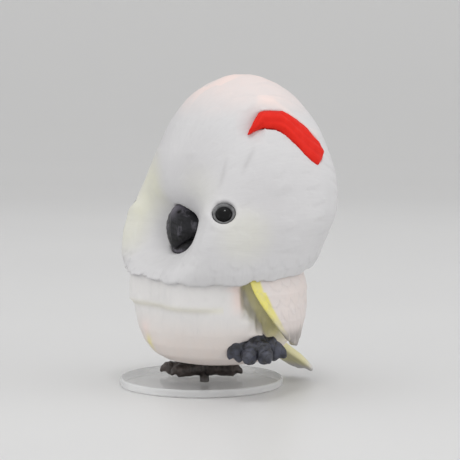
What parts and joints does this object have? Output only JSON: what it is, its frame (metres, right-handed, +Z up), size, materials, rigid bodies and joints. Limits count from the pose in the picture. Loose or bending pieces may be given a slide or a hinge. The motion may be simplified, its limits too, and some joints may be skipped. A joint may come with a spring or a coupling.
{
  "type": "parrot figurine",
  "caption": "Small white cockatoo figurine with a dark hooked beak and red crest feathers, standing on one foot on a round clear disc.",
  "frame": {"origin": "centre of the underside of the disc, where it rests on a table", "axes": "+Z up, the bird looks along -Y, its left side is towards +X"},
  "size_m": [0.0355, 0.0339, 0.0512],
  "materials": {
    "clear_disc": "clear, polished",
    "white_plumage": "matte paint on moulded plastic",
    "wing_plumage": "matte paint on moulded plastic",
    "tail_plumage": "matte paint on moulded plastic",
    "red_crest": "satin paint",
    "dark_horn": "satin paint",
    "dark_eye": "gloss paint",
    "grey_skin": "satin paint"
  },
  "bodies": {
    "root": {"base_disc": "clear_disc", "body": "white_plumage", "wing_left": "wing_plumage", "wing_right": "wing_plumage", "tail": "tail_plumage", "crest_left": "red_crest", "crest_right": "red_crest", "beak": "dark_horn", "eye_left": "dark_eye", "eye_right": "dark_eye", "left_foot": "grey_skin", "right_foot": "grey_skin"}
  },
  "joints": []
}
